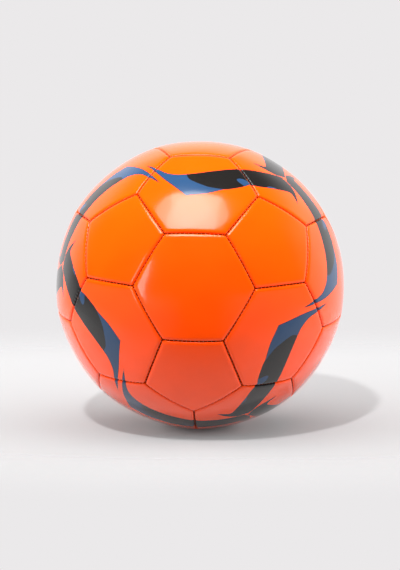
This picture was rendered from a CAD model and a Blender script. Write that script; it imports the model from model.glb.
import math

import bpy
import numpy as np
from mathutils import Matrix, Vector


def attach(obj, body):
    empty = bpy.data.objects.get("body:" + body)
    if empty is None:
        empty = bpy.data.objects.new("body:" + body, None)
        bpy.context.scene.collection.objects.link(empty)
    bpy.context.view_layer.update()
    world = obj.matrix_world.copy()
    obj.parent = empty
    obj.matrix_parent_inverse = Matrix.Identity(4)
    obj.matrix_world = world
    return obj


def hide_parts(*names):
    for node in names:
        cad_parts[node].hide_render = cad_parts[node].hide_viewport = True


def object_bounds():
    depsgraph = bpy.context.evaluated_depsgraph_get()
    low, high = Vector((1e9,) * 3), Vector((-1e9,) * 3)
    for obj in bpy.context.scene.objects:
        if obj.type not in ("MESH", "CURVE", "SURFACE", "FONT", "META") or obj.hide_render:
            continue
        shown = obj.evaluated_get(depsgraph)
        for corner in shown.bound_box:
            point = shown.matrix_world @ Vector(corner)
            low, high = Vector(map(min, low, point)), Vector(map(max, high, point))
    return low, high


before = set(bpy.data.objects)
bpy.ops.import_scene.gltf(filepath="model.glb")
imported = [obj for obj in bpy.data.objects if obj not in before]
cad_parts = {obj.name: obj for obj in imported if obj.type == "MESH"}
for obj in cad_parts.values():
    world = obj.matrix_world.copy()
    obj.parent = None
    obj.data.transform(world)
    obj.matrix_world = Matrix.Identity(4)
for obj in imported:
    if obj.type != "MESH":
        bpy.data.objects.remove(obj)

cad_box = [list(corner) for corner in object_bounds()]


# ---- Camera ----
# A long lens a good step and a half away, a little above the middle of the ball and
# aimed at it, so that the panels near the edge are barely squeezed by perspective.
camera_distance = 1.65
camera_elevation = math.radians(8)

lens = bpy.data.cameras.new("camera")
lens.lens = 135.7
lens.sensor_width = 36
lens.clip_start = 0.05
lens.clip_end = 60
camera = bpy.data.objects.new("camera", lens)
bpy.context.scene.collection.objects.link(camera)
camera.location = (0, -camera_distance * math.cos(camera_elevation),
                   camera_distance * math.sin(camera_elevation))
camera.rotation_euler = (math.radians(90) - camera_elevation, 0, 0)
bpy.context.scene.camera = camera
bpy.context.scene.view_settings.view_transform = "Standard"


# ---- Floor and studio ----
# A pale matt light table under the ball, lit a little from below, which fades into an even
# pale backdrop of the same shade. Nothing of it belongs to the ball.
mm = 0.001
backdrop_shade = "#EBE9EA"
floor_albedo = 0.15
floor_tint = (1, 0.995, 1)
floor_glow = 0.04
glow_tint = (1, 0.99, 0.995, 1)
floor_middle = (0.03, 0.13)
floor_reach = (0.75, 0.38)
fade_from = 0.45
floor_radius = 30.0


def linear(hex_colour):
    """An sRGB hex colour as the linear RGBA that the shader sockets take."""
    parts = [int(hex_colour[k : k + 2], 16) / 255 for k in (1, 3, 5)]
    return [c / 12.92 if c <= 0.04045 else ((c + 0.055) / 1.055) ** 2.4 for c in parts] + [1.0]


def add_node(tree, kind, feeds=(), **settings):
    """Adds a node, sets it up, and fills its inputs. Feeds pairs an input with a socket to link or
    with a value."""
    made = tree.nodes.new(kind)
    for name, value in settings.items():
        setattr(made, name, value)
    for where, value in dict(feeds).items():
        if isinstance(value, bpy.types.NodeSocket):
            tree.links.new(value, made.inputs[where])
        else:
            made.inputs[where].default_value = value
    return made


def new_material(name):
    """An empty node material and its output node."""
    made = bpy.data.materials.new(name)
    made.use_nodes = True
    made.node_tree.nodes.clear()
    return made, made.node_tree, made.node_tree.nodes.new("ShaderNodeOutputMaterial")


floor_z = cad_box[0][2]
rim_steps = 96
rim_turns = [2 * math.pi * k / rim_steps for k in range(rim_steps)]
rim = [(floor_radius * math.cos(turn), floor_radius * math.sin(turn), floor_z) for turn in rim_turns]
floor_mesh = bpy.data.meshes.new("floor")
floor_mesh.from_pydata(rim, [], [list(range(rim_steps))])
floor = bpy.data.objects.new("floor", floor_mesh)
bpy.context.scene.collection.objects.link(floor)

# Matt opal table top: no gloss at all, and it gives way to the backdrop away from the ball.
opal_top, tree, out = new_material("matt_opal_table")
place = add_node(tree, "ShaderNodeTexCoord")
off = add_node(tree, "ShaderNodeVectorMath", {0: place.outputs["Object"], 1: (*floor_middle, floor_z)},
               operation="SUBTRACT")
scaled = add_node(tree, "ShaderNodeVectorMath", {
    0: off.outputs[0], 1: (1 / floor_reach[0], 1 / floor_reach[1], 0)}, operation="MULTIPLY")
away = add_node(tree, "ShaderNodeVectorMath", {0: scaled.outputs[0]}, operation="LENGTH")
fade = add_node(tree, "ShaderNodeMapRange", {
    "Value": away.outputs["Value"], "From Min": fade_from, "From Max": 1.0}, interpolation_type="SMOOTHSTEP")
paint = add_node(tree, "ShaderNodeBsdfDiffuse", {"Color": (*(floor_albedo * c for c in floor_tint), 1)})
gone = add_node(tree, "ShaderNodeBsdfTransparent")
glow = add_node(tree, "ShaderNodeEmission", {"Color": glow_tint, "Strength": floor_glow})
lit = add_node(tree, "ShaderNodeAddShader", {0: paint.outputs[0], 1: glow.outputs[0]})
mixed = add_node(tree, "ShaderNodeMixShader", {0: fade.outputs[0], 1: lit.outputs[0], 2: gone.outputs[0]})
tree.links.new(mixed.outputs[0], out.inputs["Surface"])
floor_mesh.materials.append(opal_top)

# The room: seen directly it is the pale backdrop. What it throws on the ball is bright
# behind and at the sides, and dark from the camera's side and from overhead. Its limits are
# parts of a unit direction: its height, its share towards the open side, and its share aside.
walls_from, walls_full = 0.76, 0.4
open_way, open_full = (0.2, 0.98, 0), 0.75
ground_from, ground_full = 0.03, -0.05
aside_from, aside_full, ground_share = 0.15, 0.6, 0.35
dark_side = (0.03, 0.03, 0.03, 1)
room = bpy.data.worlds.new("studio_room")
bpy.context.scene.world = room
room.use_nodes = True
tree = room.node_tree
tree.nodes.clear()
toward = add_node(tree, "ShaderNodeTexCoord")
split = add_node(tree, "ShaderNodeSeparateXYZ", {0: toward.outputs["Generated"]})
low_down = add_node(tree, "ShaderNodeMapRange", {
    "Value": split.outputs["Z"], "From Min": walls_from, "From Max": walls_full},
                    interpolation_type="SMOOTHSTEP")
open_side = add_node(tree, "ShaderNodeVectorMath", {0: toward.outputs["Generated"], 1: open_way},
                     operation="DOT_PRODUCT")
behind = add_node(tree, "ShaderNodeMapRange", {
    "Value": open_side.outputs["Value"], "From Min": 0.0, "From Max": open_full},
                  interpolation_type="SMOOTHSTEP")
walls = add_node(tree, "ShaderNodeMath", {0: low_down.outputs[0], 1: behind.outputs[0]}, operation="MULTIPLY")
below = add_node(tree, "ShaderNodeMapRange", {
    "Value": split.outputs["Z"], "From Min": ground_from, "From Max": ground_full},
                 interpolation_type="SMOOTHSTEP")
across = add_node(tree, "ShaderNodeMath", {0: split.outputs["X"]}, operation="ABSOLUTE")
aside = add_node(tree, "ShaderNodeMapRange", {
    "Value": across.outputs[0], "From Min": aside_from, "From Max": aside_full, "To Max": ground_share},
                 interpolation_type="SMOOTHSTEP")
ground = add_node(tree, "ShaderNodeMath", {0: below.outputs[0], 1: aside.outputs[0]}, operation="MULTIPLY")
bright = add_node(tree, "ShaderNodeMath", {0: walls.outputs[0], 1: ground.outputs[0]}, operation="MAXIMUM")
throw = add_node(tree, "ShaderNodeMix", {0: bright.outputs[0], 6: dark_side, 7: linear(backdrop_shade)},
                 data_type="RGBA")
seen = add_node(tree, "ShaderNodeLightPath")
shown = add_node(tree, "ShaderNodeMix", {
    0: seen.outputs["Is Camera Ray"], 6: throw.outputs[2], 7: linear(backdrop_shade)}, data_type="RGBA")
sky = add_node(tree, "ShaderNodeBackground", {"Color": shown.outputs[2], "Strength": 1.0})
out = add_node(tree, "ShaderNodeOutputWorld", {"Surface": sky.outputs[0]})

# The lamps. Each is flagged to light the ball or the table alone, as a studio does with flags
# and barn doors. Only the strip and the softbox are mirrored in the film. The softbox is three
# lamps one in another, so that its reflection is brightest in the middle.
ball_pieces = bpy.data.collections.new("lit_with_the_ball")
table_pieces = bpy.data.collections.new("lit_with_the_table")
table_pieces.objects.link(floor)


def lamp(name, azimuth, elevation, distance, width, height, radiance, onto,
         matt=True, mirrored=False, shape="RECTANGLE"):
    """A soft lamp aimed at the ball, for one collection. Azimuth 0 is the camera's side and 90 the right."""
    light = bpy.data.lights.new(name, "AREA")
    light.shape = shape
    light.size, light.size_y = width, height
    light.energy = radiance * math.pi * width * height
    # Left on, this puts a haze on the film from lamps that it doesn't mirror.
    light.cycles.use_multiple_importance_sampling = mirrored
    made = bpy.data.objects.new(name, light)
    bpy.context.scene.collection.objects.link(made)
    a, e = math.radians(azimuth), math.radians(elevation)
    back = Vector((math.sin(a) * math.cos(e), -math.cos(a) * math.cos(e), math.sin(e)))
    made.location = back * distance
    made.rotation_euler = back.to_track_quat("Z", "Y").to_euler()
    made.visible_camera = False
    made.visible_diffuse = matt
    made.visible_glossy = mirrored
    made.light_linking.receiver_collection = onto
    return made


lamp("softbox_middle", -14, 70, 1.6, 0.62, 0.66, 1.2, ball_pieces, matt=False, mirrored=True, shape="ELLIPSE")
lamp("softbox_panel", -11, 69, 1.6, 0.8, 0.88, 3.1, ball_pieces, matt=False, mirrored=True)
lamp("softbox_edge", -13, 69.5, 1.6, 1.2, 1.0, 3.4, ball_pieces, matt=False, mirrored=True, shape="ELLIPSE")
lamp("strip", -41, 10, 1.5, 0.2, 0.7, 4.8, ball_pieces, matt=False, mirrored=True)
lamp("top", 0, 80, 2.0, 2.4, 2.4, 4.4, ball_pieces)
lamp("left_side", -98, 45, 2.0, 3.0, 2.6, 7.6, ball_pieces)
lamp("right_side", 98, 45, 2.0, 3.0, 2.6, 6.2, ball_pieces)
lamp("front_low", 0, -22, 2.0, 3.4, 1.2, 1.8, ball_pieces)
lamp("table_key", -16, 50, 2.2, 0.1, 0.1, 2900.0, table_pieces)
lamp("table_top", 0, 90, 1.6, 4.5, 4.5, 3.6, table_pieces)
lamp("table_left", -90, 20, 3.0, 5.0, 1.4, 19.0, table_pieces)
lamp("table_right", 90, 20, 3.0, 5.0, 1.4, 17.0, table_pieces)


# ---- Printed panel skins ----
# Thirty-two skins cut from smooth PVC film on a cloth backing, twenty six-sided and twelve
# five-sided. Each is drawn over its foam pad by the stitches, so its edges roll down
# into the seams, and its margins are turned in there as a hem.
ball_girth = 690 * mm
ball_r = ball_girth / (2 * math.pi)
panel_flatness = 1.15
corner_lift = 0.8 * mm
corner_r = ball_r + corner_lift
curve_r = ball_r * panel_flatness
skin_t = 1.1 * mm
layers_t = 4.4 * mm
lining_offset = 0.649 * mm
inner_r = ball_r + lining_offset - skin_t - layers_t
hem_gap = 0.1 * mm
roll_w = 3.4 * mm
roll_d = 1.15 * mm
roll_blend = 1.4
crease_w = 0.5 * mm
crease_d = 1.3 * mm
stitches = 14
stitch_end = 0.05
seam_angle = math.radians(23.2814)
stitch_pitch = seam_angle * ball_r * (1 - 2 * stitch_end) / (stitches - 1)
pucker_d = 0.42 * mm
pucker_along, pucker_in = 0.6 * mm, 1.35 * mm
front_turn, front_lean, front_roll = (math.radians(a) for a in (-2.5, 7, -0.9))
near_polar = math.acos(math.sqrt((5 + 2 * math.sqrt(5)) / 15))
far_polar = math.acos(math.sqrt((5 - 2 * math.sqrt(5)) / 15))


def unit(v):
    return v / np.linalg.norm(v, axis=-1, keepdims=True)


def at_rest(v):
    """Rolls, leans and turns a direction, from the pattern's upright place to how the ball lies."""
    x, y, z = v
    c, s = math.cos(-front_roll), math.sin(-front_roll)
    x, z = x * c + z * s, z * c - x * s
    c, s = math.cos(-front_lean), math.sin(-front_lean)
    y, z = y * c - z * s, y * s + z * c
    c, s = math.cos(front_turn), math.sin(front_turn)
    return np.array([x * c - y * s, x * s + y * c, z])


# The pentagons' middles lie on four rings round the front hexagon, three to a ring, and
# every hexagon lies among three pentagons that are neighbours.
rings_of_three = [(near_polar, 30), (far_polar, 90), (math.pi - far_polar, 30), (math.pi - near_polar, 90)]
pentagons = np.array([
    at_rest([math.sin(polar) * math.cos(b), -math.cos(polar), math.sin(polar) * math.sin(b)])
    for polar, bearing in rings_of_three
    for b in (math.radians(bearing + 120 * k) for k in range(3))])
touching = (pentagons @ pentagons.T > 0.4) & ~np.eye(12, dtype=bool)
trios = [(i, j, k) for i in range(12) for j in range(i + 1, 12) for k in range(j + 1, 12)
         if touching[i, j] and touching[j, k] and touching[i, k]]
hexagons = np.array([unit(pentagons[i] + pentagons[j] + pentagons[k]) for i, j, k in trios])


def seam_corner(i, j):
    """Where the corner of pentagon i that points at pentagon j lies."""
    return unit(2 * pentagons[i] + pentagons[j])


def panel_frame(axis, up):
    """The panel's own right, up and outward directions, as rows."""
    up = unit(up - (up @ axis) * axis)
    return np.array([np.cross(up, axis), up, axis])


def in_order(corners, own):
    """The corners, anticlockwise as seen from outside."""
    turn = np.arctan2(corners @ own[1], corners @ own[0])
    return corners[np.argsort(turn)]


def sides_of(corners):
    """For each side: the seam's middle, its direction along, and the direction into the panel."""
    following = np.roll(corners, -1, axis=0)
    return unit(corners + following), unit(following - corners), unit(np.cross(corners, following))


# Faint unevenness from the foam under the film: waves in random directions, their lengths in mm.
unevenness_d = 0.014 * mm
wave_count = 14
wave_lengths = (13, 34)
rng = np.random.default_rng(12)
unevenness = [(unit(rng.normal(size=3)) * 2 * math.pi / rng.uniform(*wave_lengths) / mm,
               rng.uniform(0, 2 * math.pi)) for _ in range(wave_count)]


def curved_radius(v, axis, corner):
    """The puffed panel before its edges roll down: a flatter sphere through the corners."""
    across = corner_r * np.linalg.norm(np.cross(axis, corner))
    shift = corner_r * (axis @ corner) - math.sqrt(curve_r**2 - across**2)
    c = v @ axis
    return shift * c + np.sqrt(curve_r**2 - shift**2 * (1 - c**2))


def skin_radius(v, axis, corners):
    """How far from the ball's middle the film lies, in each direction of v."""
    middles, alongs, inwards = sides_of(corners)
    inset = np.arcsin(np.clip(v @ inwards.T, -1, 1)) * ball_r
    x = np.clip(1 - inset / roll_w, 0, 1)
    rolled = roll_d * (1 - np.sqrt(1 - x**2)) + crease_d * np.exp(-((inset / crease_w) ** 2))
    drop = (rolled**roll_blend).sum(axis=1) ** (1 / roll_blend)
    along = np.arctan2(v @ alongs.T, v @ middles.T) * ball_r / stitch_pitch + (stitches - 1) / 2
    off = (along - np.clip(np.round(along), 0, stitches - 1)) * stitch_pitch
    pulled = np.exp(-((off / pucker_along) ** 2)) * np.exp(-((inset / pucker_in) ** 2))
    pucker = pucker_d * pulled.sum(axis=1)
    surface = curved_radius(v, axis, corners[0])
    waves = sum(np.sin(surface * (v @ wave) + start) for wave, start in unevenness)
    return surface - drop - pucker + unevenness_d * waves * np.clip(inset.min(axis=1) / roll_w, 0.2, 1)


round_from = 0.55


def ring_directions(axis, corners, inset, columns, hole=None):
    """Directions round one ring of the panel, that far in from the seams. Round a hole, the rings
    turn circular from that share of the way in."""
    middles, alongs, inwards = sides_of(corners)
    into = unit(axis - (axis @ corners[0]) * corners[0])
    delta = inset / ball_r
    sine = math.sin(delta) / (inwards[0] @ into)
    on_diagonal = math.sqrt(1 - sine**2) * corners[0] + sine * into
    reach = abs(math.atan2(on_diagonal @ alongs[0], on_diagonal @ middles[0]))
    turn = np.linspace(-reach, reach, columns, endpoint=False)[None, :, None]
    v = (math.cos(delta) * (np.cos(turn) * middles[:, None] + np.sin(turn) * alongs[:, None])
         + math.sin(delta) * inwards[:, None]).reshape(-1, 3)
    if hole is not None:
        full = math.asin(axis @ inwards[0])
        first = round_from * full * ball_r
        share = np.clip((inset - first) / (full * ball_r - hole - first), 0, 1)
        share = share * share * (3 - 2 * share)
        polar = np.arccos(np.clip(v @ axis, -1, 1))
        polar = (1 - share) * polar + share * (full - delta)
        v = np.cos(polar)[:, None] * axis + np.sin(polar)[:, None] * unit(v - (v @ axis)[:, None] * axis)
    return v


def join_rings(rings, ends):
    """Joins rings of points, listed from the outside middle over the edge to the inside middle, into
    one closed shell. Ends are the two middle points, or None where the last ring meets the first
    round a hole. Neighbouring rings have the same number of points, or one has twice as many."""
    starts = np.cumsum([0] + [len(ring) for ring in rings]).tolist()
    faces = []
    pairs = list(zip(range(len(rings) - 1), range(1, len(rings))))
    if ends is None:
        pairs.append((len(rings) - 1, 0))
    for a, b in pairs:
        m, n = len(rings[a]), len(rings[b])
        i = np.arange(min(m, n))
        j = (i + 1) % min(m, n)
        if m == n:
            faces += np.stack([starts[a] + i, starts[b] + i, starts[b] + j, starts[a] + j], 1).tolist()
        elif n == 2 * m:
            first, middle, last = starts[b] + 2 * i, starts[b] + 2 * i + 1, starts[b] + (2 * i + 2) % n
            faces += np.stack([starts[a] + i, first, middle], 1).tolist()
            faces += np.stack([starts[a] + i, middle, starts[a] + j], 1).tolist()
            faces += np.stack([starts[a] + j, middle, last], 1).tolist()
        else:
            first, middle, last = starts[a] + 2 * i, starts[a] + 2 * i + 1, starts[a] + (2 * i + 2) % m
            faces += np.stack([first, starts[b] + i, middle], 1).tolist()
            faces += np.stack([middle, starts[b] + i, starts[b] + j], 1).tolist()
            faces += np.stack([middle, starts[b] + j, last], 1).tolist()
    points = list(rings)
    if ends is not None:
        outer, inner = starts[-1], starts[-1] + 1
        points.append(np.array(ends))
        i = np.arange(len(rings[0]))
        faces += np.stack([np.full(len(i), outer), i, (i + 1) % len(i)], 1).tolist()
        i = np.arange(len(rings[-1]))
        faces += np.stack([starts[-2] + i, np.full(len(i), inner), starts[-2] + (i + 1) % len(i)], 1).tolist()
    return np.concatenate(points), faces


sharp_fold = math.radians(50)


def make_piece(name, shells, material, slot, *nodes):
    """One object from closed shells, smooth but for its sharp folds, in place of the given CAD nodes."""
    count, points, faces = 0, [], []
    for shell_points, shell_faces in shells:
        points.append(shell_points)
        faces += [[count + i for i in face] for face in shell_faces] if count else shell_faces
        count += len(shell_points)
    mesh = bpy.data.meshes.new(name)
    mesh.from_pydata(np.concatenate(points).tolist(), [], faces)
    mesh.polygons.foreach_set("use_smooth", np.ones(len(mesh.polygons), bool))
    mesh.set_sharp_from_angle(angle=sharp_fold)
    mesh.materials.append(material)
    return settle(bpy.data.objects.new(name, mesh), slot, *nodes)


def settle(piece, slot, *nodes):
    """Puts a finished piece in the scene, on the ball, in place of its CAD nodes."""
    bpy.context.scene.collection.objects.link(piece)
    ball_pieces.objects.link(piece)
    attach(piece, "ball")
    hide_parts(*nodes)
    return piece


edge_columns = 96
fine_insets = [x * mm for x in (0.05, 0.12, 0.22, 0.36, 0.54, 0.76, 1.02, 1.32, 1.68,
                                2.1, 2.6, 3.2, 3.9, 4.8)]
middle_gap = 1.2 * mm


def ring_plan(corners, axis, cell, hole=None):
    """Insets and columns from the seam to the middle: fine by the stitches, then cells of that size."""
    full = math.asin(axis @ sides_of(corners)[2][0]) * ball_r
    end = full - middle_gap if hole is None else full - hole
    side = seam_angle * ball_r
    rest = np.linspace(fine_insets[-1], end, max(3, math.ceil((end - fine_insets[-1]) / cell)) + 1)[1:]
    plan = [(x, edge_columns) for x in fine_insets]
    columns = edge_columns
    for x in rest:
        if columns > 3 and side * (1 - x / full) / (columns / 2) < cell and not (hole and columns <= 12):
            columns //= 2
        plan.append((x, columns))
    return plan


hem_out = hem_gap / 2
hem_in = hem_gap / 2 + skin_t
lip_steps = ((0.42, 0.12), (0.5, 0.45), (0.5, 0.85))


def skin_shell(corners, axis, cell, hole=None):
    """One skin as a closed shell: outer face, rolled edge, hem down to the cloth lining, inside of the
    tray and, round a hole, the lip."""
    plan = ring_plan(corners, axis, cell, hole)

    def face(inset, columns, sink=0.0):
        v = ring_directions(axis, corners, inset, columns, hole)
        return v * (skin_radius(v, axis, corners) - sink)[:, None]

    outside = [face(x, columns) for x, columns in reversed(plan)]
    hem = []
    for inset in (hem_out, hem_out + 0.5 * skin_t, hem_in):
        hem.append(ring_directions(axis, corners, inset, edge_columns) * inner_r)
    tray = [(hem_in, edge_columns), (2.4 * mm, 48), (5 * mm, 24), (9 * mm, 12), (15 * mm, 12), (21 * mm, 12),
            (27 * mm, 12 if hole else 6)]
    inside = [face(x, columns, skin_t) for x, columns in tray]
    if hole is None:
        radius = skin_radius(axis[None, :], axis, corners)[0]
        return join_rings(outside + hem + inside, [axis * radius, axis * (radius - skin_t)])
    last_inset, last_columns = plan[-1]
    lip = [face(last_inset + off * mm, last_columns, sink * mm) for off, sink in lip_steps]
    inside += [face(last_inset, 12, skin_t), face(last_inset + 0.5 * mm, 12, skin_t)]
    return join_rings(lip[::-1] + outside + hem + inside, None)


# The print: broad tapered bands that run round the ball from panel to panel, black with
# blue ends. Each outline is a few points in mm on its own panel, right and up from the middle,
# in runs that are smooth curves; a new run starts at each sharp corner.
band_outline = [
    [(-42.4, 34.8), (-32, 24.6), (-24, 17), (-15.5, 13.8), (-8.5, 13.8), (1.6, 15.6), (13.5, 19.2),
     (26.5, 24), (31, 25.6), (38, 28.4)],
    [(38, 28.4), (46, 15)],
    [(46, 15), (39.4, 10), (33.8, 5.5), (24.5, 0.8), (19, -0.9), (10, -4.9), (3, -6.8), (-8, -8.2)],
    [(-8, -8.2), (-16, 0), (-25, 9.8), (-33.6, 21.9), (-42.4, 34.8)]]
band_black = [
    [(-9.6, 24), (-8.9, 16), (-8.3, 12.6), (-6.3, 8.5), (-2, 5.3), (3, 2.7), (8.5, 0.5), (17, -0.3),
     (22, 0), (27, 0.2)],
    [(27, 0.2), (27, -20), (60, -20), (60, 44), (-9.6, 44), (-9.6, 24)]]
band_finger = [
    [(46, 9.6), (40, 11.7), (35.5, 13.3), (31.6, 13.9), (28.8, 12.4), (30.2, 9.7), (35, 6.2), (38, 2)],
    [(38, 2), (48, 0), (46, 9.6)]]
spike_turn = (-34.7, 20.0)
arm_outline = [
    [(-7.4, -46), (-6.7, -40), (-3.8, -25), (-2, -12), (-0.9, -3.4), (0.7, -1.9), (3.5, 0.0), (6, 1.2),
     (9, 2.1), (14, 2.1), (20, 0.7), (27.3, -2.2)],
    [(27.3, -2.2), (22, -2.5), (18, -3.2), (16, -5)],
    [(16, -5), (15.7, -12), (15, -22.7), (13.9, -33.9), (12.6, -38), (11.5, -40), (9.6, -46)],
    [(9.6, -46), (-7.4, -46)]]
arm_bump = [
    [(16, -28.4), (14.4, -27.6), (13.3, -25.6), (13.3, -22), (14.0, -19.2), (15.6, -17.6)],
    [(15.6, -17.6), (19, -18), (19, -28), (16, -28.4)]]


def smooth_outline(runs, per_span=8):
    """The closed outline as many short straight steps through the runs' points."""
    steps_out = []
    for run in runs:
        p = np.array(run, float)
        if len(p) == 2:
            steps_out.append(p[:1])
            continue
        p = np.vstack([2 * p[0] - p[1], p, 2 * p[-1] - p[-2]])
        for a, b, c, d in zip(p[:-3], p[1:-2], p[2:-1], p[3:]):
            t = np.linspace(0, 1, per_span, endpoint=False)[:, None]
            steps_out.append(0.5 * (2 * b + (c - a) * t + (2 * a - 5 * b + 4 * c - d) * t**2
                                    + (3 * b - a - 3 * c + d) * t**3))
    return np.vstack(steps_out)


points_at_once = 4000


def inside_by(points, outline):
    """How far inside the outline each point is, in mm; outside it is negative."""
    a, b = outline, np.roll(outline, -1, axis=0)
    keep = np.linalg.norm(b - a, axis=1) > 1e-9
    a, b = a[keep], b[keep]
    result = np.empty(len(points))
    for k in range(0, len(points), points_at_once):
        p = points[k : k + points_at_once, None, :]
        t = np.clip(((p - a) * (b - a)).sum(2) / ((b - a) ** 2).sum(1), 0, 1)
        near = np.sqrt((((a + t[..., None] * (b - a)) - p) ** 2).sum(2)).min(1)
        spans = (a[:, 1] > p[..., 1]) != (b[:, 1] > p[..., 1])
        with np.errstate(divide="ignore", invalid="ignore"):
            cross = a[:, 0] + (p[..., 1] - a[:, 1]) * (b[:, 0] - a[:, 0]) / (b[:, 1] - a[:, 1])
        crossings = (spans & (p[..., 0] < cross)).sum(1)
        result[k : k + points_at_once] = np.where(crossings % 2 == 1, near, -near)
    return result


def on_panel(points, own):
    """Places on the panel in mm right and up from its middle, measured along the curve."""
    v = unit(points)
    polar = np.arccos(np.clip(v @ own[2], -1, 1)) * ball_r / mm
    flat = np.stack([v @ own[0], v @ own[1]], 1)
    size = np.maximum(np.linalg.norm(flat, axis=1, keepdims=True), 1e-12)
    return flat / size * polar[:, None]


# How far inside an outline a point is, where it lies far from any: beyond this it makes no difference.
far_off = 9.0


def band_print(place):
    """Ink and black ink on a banded panel: its own band, and the tip of the next panel's that crosses
    the seam, which is the same band half a turn on."""
    turned = 2 * np.array(spike_turn) - place
    outline = smooth_outline(band_outline)
    ink = np.maximum(inside_by(place, outline), inside_by(turned, outline))
    black = np.minimum(inside_by(place, smooth_outline(band_black)),
                       -inside_by(place, smooth_outline(band_finger)))
    return ink, black


def arm_print(place):
    """Ink and black ink on a pinwheel panel: three arms, each a third of a turn on."""
    ink, black = np.full(len(place), -far_off), np.full(len(place), far_off)
    for k in range(3):
        c, s = math.cos(k * 2 * math.pi / 3), math.sin(k * 2 * math.pi / 3)
        turned = place @ np.array([[c, -s], [s, c]])
        ink = np.maximum(ink, inside_by(turned, smooth_outline(arm_outline)))
        black = np.minimum(black, -inside_by(turned, smooth_outline(arm_bump)))
    return ink, black


# Glossy printed PVC film: screen-printed inks under a clear topcoat. The film is dense and
# even in colour, with a clear sharp sheen, and only a very faint orange peel breaks it.
# Where blue meets orange the inks overlap in a hair-thin dark line, and the fold at the
# seam is strained, dull and dark.
orange_ink, blue_ink, black_ink = "#F94801", "#203A59", "#161413"
trap_line, fold_shade = "#2A1620", "#7A2408"
ink_trap = 0.3
print_soft = 0.08
mottle_scale, mottle_spread = 45.0, (0.3, 0.7)
peel_scale, peel_d = 420.0, 0.05 * mm
fold_from, fold_full = 0.55, 0.2
printed_film, tree, out = new_material("printed_pvc_film")
place = add_node(tree, "ShaderNodeTexCoord")
mottle = add_node(tree, "ShaderNodeTexNoise", {
    "Vector": place.outputs["Object"], "Scale": mottle_scale, "Detail": 3.0})
tint = add_node(tree, "ShaderNodeMapRange", {
    "Value": mottle.outputs["Fac"], "From Min": mottle_spread[0], "From Max": mottle_spread[1],
    "To Min": 0.965, "To Max": 1.03})
ink_at = add_node(tree, "ShaderNodeAttribute", attribute_name="ink_inside_mm")
black_at = add_node(tree, "ShaderNodeAttribute", attribute_name="black_inside_mm")
ink_on, black_on = (add_node(tree, "ShaderNodeMapRange", {
    "Value": stored.outputs["Fac"], "From Min": -print_soft, "From Max": print_soft})
    for stored in (ink_at, black_at))
inks = add_node(tree, "ShaderNodeMix", {
    0: black_on.outputs[0], 6: linear(blue_ink), 7: linear(black_ink)}, data_type="RGBA")
film = add_node(tree, "ShaderNodeMix", {
    0: ink_on.outputs[0], 6: linear(orange_ink), 7: inks.outputs[2]}, data_type="RGBA")
trap = add_node(tree, "ShaderNodeMapRange", {
    "Value": ink_at.outputs["Fac"], "From Min": ink_trap + 0.12, "From Max": ink_trap - 0.03})
over = add_node(tree, "ShaderNodeMapRange", {
    "Value": ink_at.outputs["Fac"], "From Min": -0.12, "From Max": 0.02})
trapped = add_node(tree, "ShaderNodeMath", {0: trap.outputs[0], 1: over.outputs[0]}, operation="MULTIPLY")
lined = add_node(tree, "ShaderNodeMix", {
    0: trapped.outputs[0], 6: film.outputs[2], 7: linear(trap_line)}, data_type="RGBA")
seam_at = add_node(tree, "ShaderNodeAttribute", attribute_name="to_seam_mm")
in_fold = add_node(tree, "ShaderNodeMapRange", {
    "Value": seam_at.outputs["Fac"], "From Min": fold_from, "From Max": fold_full},
                   interpolation_type="SMOOTHSTEP")
folded = add_node(tree, "ShaderNodeMix", {
    0: in_fold.outputs[0], 6: lined.outputs[2], 7: linear(fold_shade)}, data_type="RGBA")
toned = add_node(tree, "ShaderNodeVectorMath", {0: folded.outputs[2], "Scale": tint.outputs[0]},
                 operation="SCALE")
peel = add_node(tree, "ShaderNodeTexNoise", {
    "Vector": place.outputs["Object"], "Scale": peel_scale, "Detail": 2.0})
soft_spots = add_node(tree, "ShaderNodeMapRange", {
    "Value": mottle.outputs["Fac"], "From Min": mottle_spread[0], "From Max": mottle_spread[1],
    "To Min": 0.14, "To Max": 0.19})
raised = add_node(tree, "ShaderNodeBump", {
    "Height": peel.outputs["Fac"], "Strength": 0.12, "Distance": peel_d})
surface = add_node(tree, "ShaderNodeBsdfPrincipled", {
    "Base Color": toned.outputs[0], "Roughness": soft_spots.outputs[0], "IOR": 1.5, "Coat Weight": 0.35,
    "Coat Roughness": 0.06, "Coat IOR": 1.5, "Normal": raised.outputs[0], "Coat Normal": raised.outputs[0]})
tree.links.new(surface.outputs[0], out.inputs["Surface"])

plain_hexagons, pinwheel_hexagons = (0, 11, 13, 14), (3, 7, 9, 19)
valve_hexagon = 11
hole_r = 4.75 * mm
print_cell, plain_cell = 0.8 * mm, 1.7 * mm
neighbour_dot = 0.7


def make_skin(name, shell, corners, own, printed):
    """A finished skin: its shell with the print's outlines stored on it."""
    piece = make_piece(f"skin_{name}", [shell], printed_film, "printed_panel_skin", name)
    place_mm = on_panel(shell[0], own)
    bare = np.full(len(place_mm), -far_off)
    ink, black = printed(place_mm) if printed else (bare, bare)
    to_seam = np.arcsin(np.clip(unit(shell[0]) @ sides_of(corners)[2].T, -1, 1)).min(axis=1) * ball_r / mm
    for attribute, values in (("ink_inside_mm", ink), ("black_inside_mm", black), ("to_seam_mm", to_seam)):
        stored = piece.data.attributes.new(attribute, "FLOAT", "POINT")
        stored.data.foreach_set("value", np.clip(values, -far_off, far_off).astype(np.float32))


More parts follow.
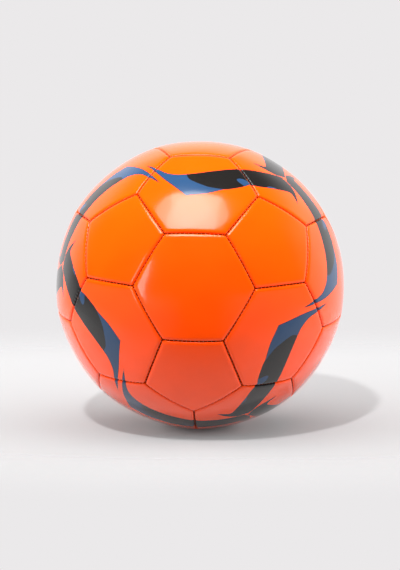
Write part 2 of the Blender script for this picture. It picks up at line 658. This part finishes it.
patches = []
for index, (axis, trio) in enumerate(zip(hexagons, trios)):
    corners = np.array([seam_corner(i, j) for i in trio for j in trio if i != j])
    number = index + 1 if index < valve_hexagon else index
    name = "valve_panel" if index == valve_hexagon else f"hexagon_panel_{number:02d}"
    near_by = [k for k in range(20) if k != index and hexagons[k] @ axis > neighbour_dot]
    if index in plain_hexagons:
        own, printed, cell = panel_frame(axis, hexagons[near_by[0]]), None, plain_cell
    elif index in pinwheel_hexagons:
        own, printed, cell = panel_frame(axis, -hexagons[near_by[0]]), arm_print, print_cell
    else:
        plain = [k for k in near_by if k in plain_hexagons][0]
        own, printed, cell = panel_frame(axis, -hexagons[plain]), band_print, print_cell
    corners = in_order(corners, own)
    shell = skin_shell(corners, axis, cell, hole_r if index == valve_hexagon else None)
    make_skin(name, shell, corners, own, printed)
    patches.append((axis, corners, index == valve_hexagon))

for index, axis in enumerate(pentagons):
    others = np.flatnonzero(touching[index])
    own = panel_frame(axis, pentagons[others[0]])
    corners = in_order(np.array([seam_corner(index, j) for j in others]), own)
    make_skin(f"pentagon_panel_{index + 1:02d}", skin_shell(corners, axis, plain_cell), corners, own, None)
    patches.append((axis, corners, False))


# ---- Seam stitches ----
# Waxed polyester thread, drawn through the hems of both panels by hand from the inside. Each
# stitch shows as a short bar across the bottom of the seam, and the thread runs on below.
thread_d = 0.7 * mm
stitch_span = 2.1 * mm
stitch_lean = 0.5 * mm
stitch_sink = 0.12 * mm
run_depth = 1.3 * mm
run_steps = 26


def seam_radius(v, axis):
    """The bottom of the seam in those directions, as the panel with that axis makes it."""
    return curved_radius(v, axis, patch_corner[tuple(axis)]) - roll_d - 0.35 * crease_d


patch_corner = {tuple(axis): corners[0] for axis, corners, _ in patches}
arc_points, arc_edges = [], []
for i, (axis, corners, _) in enumerate(patches):
    middles, alongs, _ = sides_of(corners)
    for middle, along in zip(middles, alongs):
        j = max((k for k in range(len(patches)) if k != i), key=lambda k: patches[k][0] @ middle)
        if j < i:
            continue
        turn = np.linspace(-0.5, 0.5, run_steps + 1)[:, None] * seam_angle
        v = np.cos(turn) * middle + np.sin(turn) * along
        radius = np.minimum(seam_radius(v, axis), seam_radius(v, patches[j][0]))
        arc_edges += [(len(arc_points) + k, len(arc_points) + k + 1) for k in range(run_steps)]
        arc_points += (v * radius[:, None]).tolist()

# Waxed thread: dyed polyester twist under a film of wax, which gives it a soft low sheen
# along the strands.
strand_dark, strand_light = "#96381A", "#D9754A"
turns_per_mm, strands = 1.4, 2
waxed_thread, tree, out = new_material("waxed_polyester_thread")
along_at = add_node(tree, "ShaderNodeAttribute", attribute_name="thread_along_mm")
around_at = add_node(tree, "ShaderNodeAttribute", attribute_name="thread_around")
strand = add_node(tree, "ShaderNodeMath", {
    0: along_at.outputs["Fac"], 1: turns_per_mm, 2: around_at.outputs["Fac"]},
                  operation="MULTIPLY_ADD")
lay = add_node(tree, "ShaderNodeMath", {0: strand.outputs[0], 1: 2 * math.pi * strands}, operation="MULTIPLY")
twist = add_node(tree, "ShaderNodeMath", {0: lay.outputs[0]}, operation="SINE")
fibre = add_node(tree, "ShaderNodeMix", {
    0: twist.outputs[0], 6: linear(strand_dark), 7: linear(strand_light)}, data_type="RGBA")
ridge = add_node(tree, "ShaderNodeBump", {"Height": twist.outputs[0], "Strength": 0.5, "Distance": 0.06 * mm})
wax = add_node(tree, "ShaderNodeBsdfPrincipled", {
    "Base Color": fibre.outputs[2], "Roughness": 0.5, "Sheen Weight": 0.2, "Normal": ridge.outputs[0]})
tree.links.new(wax.outputs[0], out.inputs["Surface"])

sewing = bpy.data.node_groups.new("seam_sewing", "GeometryNodeTree")
face_of = sewing.interface
face_of.new_socket("Seams", in_out="INPUT", socket_type="NodeSocketGeometry")
sewing_sizes = {"Stitches": ("NodeSocketInt", stitches), "Left Free": ("NodeSocketFloat", stitch_end),
                "Thread": ("NodeSocketFloat", thread_d), "Span": ("NodeSocketFloat", stitch_span),
                "Lean": ("NodeSocketFloat", stitch_lean), "Sink": ("NodeSocketFloat", stitch_sink),
                "Run Depth": ("NodeSocketFloat", run_depth)}
socket_of = {}
for label, (kind, _) in sewing_sizes.items():
    socket_of[label] = face_of.new_socket(label, in_out="INPUT", socket_type=kind).identifier
face_of.new_socket("Thread Mesh", in_out="OUTPUT", socket_type="NodeSocketGeometry")
given = add_node(sewing, "NodeGroupInput").outputs


def maths(operation, *values):
    """One sum on numbers in the sewing tree."""
    return add_node(sewing, "ShaderNodeMath", dict(enumerate(values)), operation=operation).outputs[0]


def swept(curve):
    """Thread of round section along a curve, with the length along it in mm and the share round it stored."""
    length = add_node(sewing, "GeometryNodeSplineParameter")
    curve = add_node(sewing, "GeometryNodeStoreNamedAttribute", {
        "Geometry": curve, "Name": "thread_along_mm", "Value": maths("DIVIDE", length.outputs["Length"], mm)},
        data_type="FLOAT", domain="POINT").outputs[0]
    ring = add_node(sewing, "GeometryNodeCurvePrimitiveCircle", {
        "Resolution": 6, "Radius": maths("MULTIPLY", given["Thread"], 0.5)})
    share = add_node(sewing, "GeometryNodeSplineParameter")
    ring = add_node(sewing, "GeometryNodeStoreNamedAttribute", {
        "Geometry": ring.outputs[0], "Name": "thread_around", "Value": share.outputs["Factor"]},
        data_type="FLOAT", domain="POINT")
    return add_node(sewing, "GeometryNodeCurveToMesh", {
        "Curve": curve, "Profile Curve": ring.outputs[0], "Fill Caps": True}).outputs[0]


def at(x, y, z):
    return add_node(sewing, "ShaderNodeCombineXYZ", {0: x, 1: y, 2: z}).outputs[0]


seams = add_node(sewing, "GeometryNodeMeshToCurve", {0: given["Seams"]})
sewn = add_node(sewing, "GeometryNodeTrimCurve", {
    "Curve": seams.outputs[0], "Start": given["Left Free"],
    "End": maths("SUBTRACT", 1.0, given["Left Free"])})
spots = add_node(sewing, "GeometryNodeCurveToPoints", {"Curve": sewn.outputs[0], "Count": given["Stitches"]})
outward = add_node(sewing, "GeometryNodeInputPosition").outputs[0]
upright = add_node(sewing, "FunctionNodeAlignRotationToVector", {"Vector": outward}, axis="Z")
across = add_node(sewing, "FunctionNodeAlignRotationToVector", {
    "Rotation": upright.outputs[0], "Vector": spots.outputs["Tangent"]}, axis="X", pivot_axis="Z")
half, deep, lean = (maths("MULTIPLY", given["Span"], 0.5), maths("MULTIPLY", given["Run Depth"], -1.0),
                    maths("MULTIPLY", given["Lean"], 0.5))
top = maths("MULTIPLY_ADD", given["Run Depth"], 0.95, maths("MULTIPLY", given["Sink"], -1.0))
bar = add_node(sewing, "GeometryNodeCurvePrimitiveBezierSegment", {
    "Resolution": 7, "Start": at(maths("MULTIPLY", lean, -1.0), maths("MULTIPLY", half, -1.0), deep),
    "Start Handle": at(maths("MULTIPLY", lean, -1.0), maths("MULTIPLY", half, -0.8),
                       maths("MULTIPLY", top, 0.34)),
    "End Handle": at(lean, maths("MULTIPLY", half, 0.8), maths("MULTIPLY", top, 0.34)),
    "End": at(lean, half, deep)})
bars = add_node(sewing, "GeometryNodeInstanceOnPoints", {
    "Points": spots.outputs["Points"], "Instance": swept(bar.outputs[0]), "Rotation": across.outputs[0]})
made = [bars.outputs[0]]
for side in (-1, 1):
    line = add_node(sewing, "GeometryNodeInputTangent")
    out_at = add_node(sewing, "ShaderNodeVectorMath", {0: outward}, operation="NORMALIZE")
    beside = add_node(sewing, "ShaderNodeVectorMath", {0: out_at.outputs[0], 1: line.outputs[0]},
                      operation="CROSS_PRODUCT")
    aside = add_node(sewing, "ShaderNodeVectorMath", {
        0: beside.outputs[0], "Scale": maths("MULTIPLY", half, side)}, operation="SCALE")
    down = add_node(sewing, "ShaderNodeVectorMath", {0: out_at.outputs[0], "Scale": deep}, operation="SCALE")
    shift = add_node(sewing, "ShaderNodeVectorMath", {0: aside.outputs[0], 1: down.outputs[0]})
    run = add_node(sewing, "GeometryNodeSetPosition", {
        "Geometry": sewn.outputs[0], "Offset": shift.outputs[0]})
    made.append(swept(run.outputs[0]))
joined = add_node(sewing, "GeometryNodeJoinGeometry")
for part in made:
    sewing.links.new(part, joined.inputs[0])
real = add_node(sewing, "GeometryNodeRealizeInstances", {0: joined.outputs[0]})
smooth = add_node(sewing, "GeometryNodeSetShadeSmooth", {0: real.outputs[0]})
waxed = add_node(sewing, "GeometryNodeSetMaterial", {"Geometry": smooth.outputs[0], "Material": waxed_thread})
add_node(sewing, "NodeGroupOutput", {0: waxed.outputs[0]})

seam_lines = bpy.data.meshes.new("seam_lines")
seam_lines.from_pydata(arc_points, arc_edges, [])
sewer = bpy.data.objects.new("seam_lines", seam_lines)
bpy.context.scene.collection.objects.link(sewer)
sewing_step = sewer.modifiers.new("sewing", "NODES")
sewing_step.node_group = sewing
for label, (_, value) in sewing_sizes.items():
    sewing_step[socket_of[label]] = value
thread_mesh = bpy.data.meshes.new_from_object(sewer.evaluated_get(bpy.context.evaluated_depsgraph_get()))
sewer.modifiers.remove(sewing_step)
bpy.data.objects.remove(sewer)
thread_mesh.name = "seam_stitches"
settle(bpy.data.objects.new("seam_stitches", thread_mesh), "waxed_thread",
       "hexagon_seam_threads", "pentagon_seam_threads")


# ---- Foam pads ----
# A pad of closed-cell foam lies behind each skin and gives the panel its bounce. Each is
# die-cut a little smaller than its panel, so that the hems close round it, with its rim pressed soft.
lining_t = 1.0 * mm
bond_gap = 0.05 * mm
pad_clearance = 0.12 * mm
layer_inset = hem_in + pad_clearance
hole_clearance = 0.2 * mm
pad_middle_gap = 1.5 * mm
pad_rim = 0.5 * mm


def layer_shell(axis, corners, pierced, outer, inner, rim):
    """One layer of a panel as a closed shell between two faces, with its rim rounded."""
    hole = hole_r + hole_clearance if pierced else None
    full = math.asin(axis @ sides_of(corners)[2][0]) * ball_r
    end = full - hole if pierced else full - pad_middle_gap
    columns = 12 if pierced else 6

    def at_inset(inset, count, radius, sink=0.0):
        v = ring_directions(axis, corners, inset, count, hole)
        return v * (radius(v, axis, corners) - sink)[:, None]

    plan = [(layer_inset + rim * (1 - math.cos(t)), rim * (1 - math.sin(t)), 24)
            for t in np.linspace(0, math.pi / 2, 4)]
    plan += [(2.6 * mm, 0.0, 24), (3.6 * mm, 0.0, 12)]
    plan += [(x, 0.0, columns if x > 8 * mm else 12) for x in np.linspace(5.2 * mm, end, 10)]
    outside = [at_inset(x, count, outer, sink) for x, sink, count in reversed(plan)]
    inside = [at_inset(x, count, inner, -sink) for x, sink, count in plan]
    if pierced:
        return join_rings(outside + inside, None)
    middles = [axis * face(axis[None, :], axis, corners)[0] for face in (outer, inner)]
    return join_rings(outside + inside, middles)


def pad_top(v, axis, corners):
    return skin_radius(v, axis, corners) - skin_t - bond_gap


def at_radius(radius):
    return lambda v, axis, corners: np.full(len(v), radius)


# Closed-cell foam: pale, matt, with cells about half a millimetre across that the cut rim lays open.
foam_cream, foam_pale = "#D9D4C6", "#ECE8DC"
foam, tree, out = new_material("closed_cell_foam")
place = add_node(tree, "ShaderNodeTexCoord")
cells = add_node(tree, "ShaderNodeTexVoronoi", {"Vector": place.outputs["Object"], "Scale": 1900.0})
haze = add_node(tree, "ShaderNodeTexNoise", {"Vector": place.outputs["Object"], "Scale": 90.0, "Detail": 3.0})
cream = add_node(tree, "ShaderNodeMix", {
    0: haze.outputs["Fac"], 6: linear(foam_cream), 7: linear(foam_pale)}, data_type="RGBA")
pores = add_node(tree, "ShaderNodeBump", {
    "Height": cells.outputs["Distance"], "Strength": 0.5, "Distance": 0.15 * mm})
body = add_node(tree, "ShaderNodeBsdfPrincipled", {
    "Base Color": cream.outputs[2], "Roughness": 0.85, "Normal": pores.outputs[0]})
tree.links.new(body.outputs[0], out.inputs["Surface"])

for name, group, node in (("hexagon_foam", patches[:20], "hexagon_foam_pads"),
                          ("pentagon_foam", patches[20:], "pentagon_foam_pads")):
    pads = [layer_shell(axis, corners, pierced, pad_top, at_radius(inner_r + lining_t + bond_gap), pad_rim)
            for axis, corners, pierced in group]
    make_piece(name, pads, foam, "foam_pad", node)


# ---- Cloth linings ----
# Four plies of cotton and polyester cloth, glued in a stack to the inside of each pad. They
# keep the panel's shape and size when the ball is pumped up.
ply_edge = 0.1 * mm

# Plain-woven cloth set in latex: dull off-white threads half a millimetre apart, over and
# under each other, so the weave repeats every two threads.
weave_repeat = 1.0
weave_dark, weave_light = "#B9B2A2", "#DDD7C8"
cloth, tree, out = new_material("latexed_plain_weave")
weave_at = add_node(tree, "ShaderNodeAttribute", attribute_name="on_panel_mm")
crossing = add_node(tree, "ShaderNodeSeparateXYZ", {0: weave_at.outputs["Vector"]})
thread_turns = [add_node(tree, "ShaderNodeMath", {
    0: crossing.outputs[k], 1: 2 * math.pi / weave_repeat}, operation="MULTIPLY") for k in (0, 1)]
warp, weft = (add_node(tree, "ShaderNodeMath", {0: t.outputs[0]}, operation="SINE") for t in thread_turns)
over = add_node(tree, "ShaderNodeMath", {0: warp.outputs[0], 1: weft.outputs[0]}, operation="MULTIPLY")
shade = add_node(tree, "ShaderNodeMapRange", {"Value": over.outputs[0], "From Min": -1.0, "From Max": 1.0})
tone = add_node(tree, "ShaderNodeMix", {
    0: shade.outputs[0], 6: linear(weave_dark), 7: linear(weave_light)}, data_type="RGBA")
knit = add_node(tree, "ShaderNodeBump", {"Height": over.outputs[0], "Strength": 0.6, "Distance": 0.12 * mm})
body = add_node(tree, "ShaderNodeBsdfPrincipled", {
    "Base Color": tone.outputs[2], "Roughness": 0.9, "Sheen Weight": 0.1, "Normal": knit.outputs[0]})
tree.links.new(body.outputs[0], out.inputs["Surface"])

for name, group, node in (("hexagon_cloth", patches[:20], "hexagon_linings"),
                          ("pentagon_cloth", patches[20:], "pentagon_linings")):
    stacks = [layer_shell(axis, corners, pierced, at_radius(inner_r + lining_t), at_radius(inner_r), ply_edge)
              for axis, corners, pierced in group]
    piece = make_piece(name, stacks, cloth, "cloth_lining", node)
    flat = [on_panel(points, panel_frame(axis, corners[0] - (corners[0] @ axis) * axis))
            for (points, _), (axis, corners, _) in zip(stacks, group)]
    flat = np.pad(np.concatenate(flat), ((0, 0), (0, 1)))
    stored = piece.data.attributes.new("on_panel_mm", "FLOAT_VECTOR", "POINT")
    stored.data.foreach_set("vector", flat.astype(np.float32).ravel())


# ---- Bladder, valve housing and valve core ----
# The bladder is one dipped butyl rubber balloon. The valve housing is moulded in harder rubber and
# bonded into it, and the core is a plug of soft rubber that is pushed into the housing.


def moulded_rubber(name, dark, light, roughness, bloom_scale):
    """Moulded rubber: dull, with a pale powdery bloom in soft patches and a very fine grain."""
    made, tree, out = new_material(name)
    place = add_node(tree, "ShaderNodeTexCoord")
    bloom = add_node(tree, "ShaderNodeTexNoise", {
        "Vector": place.outputs["Object"], "Scale": bloom_scale, "Detail": 5.0})
    grain = add_node(tree, "ShaderNodeTexNoise", {
        "Vector": place.outputs["Object"], "Scale": 2500.0, "Detail": 2.0})
    tone = add_node(tree, "ShaderNodeMix", {
        0: bloom.outputs["Fac"], 6: linear(dark), 7: linear(light)}, data_type="RGBA")
    dull = add_node(tree, "ShaderNodeMapRange", {
        "Value": bloom.outputs["Fac"], "To Min": roughness - 0.08, "To Max": roughness + 0.08})
    tooth = add_node(tree, "ShaderNodeBump", {
        "Height": grain.outputs["Fac"], "Strength": 0.3, "Distance": 0.03 * mm})
    body = add_node(tree, "ShaderNodeBsdfPrincipled", {
        "Base Color": tone.outputs[2], "Roughness": dull.outputs[0], "IOR": 1.52, "Normal": tooth.outputs[0]})
    tree.links.new(body.outputs[0], out.inputs["Surface"])
    return made


rubbers = {"bladder": moulded_rubber("talced_butyl_rubber", "#1B1A1A", "#454240", 0.6, 60.0),
           "valve_housing": moulded_rubber("moulded_valve_rubber", "#1A1918", "#33302E", 0.5, 300.0),
           "valve_core": moulded_rubber("soft_core_rubber", "#151413", "#262423", 0.45, 400.0)}
for node, rubber in rubbers.items():
    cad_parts[node].data.materials.clear()
    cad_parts[node].data.materials.append(rubber)
    ball_pieces.objects.link(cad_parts[node])
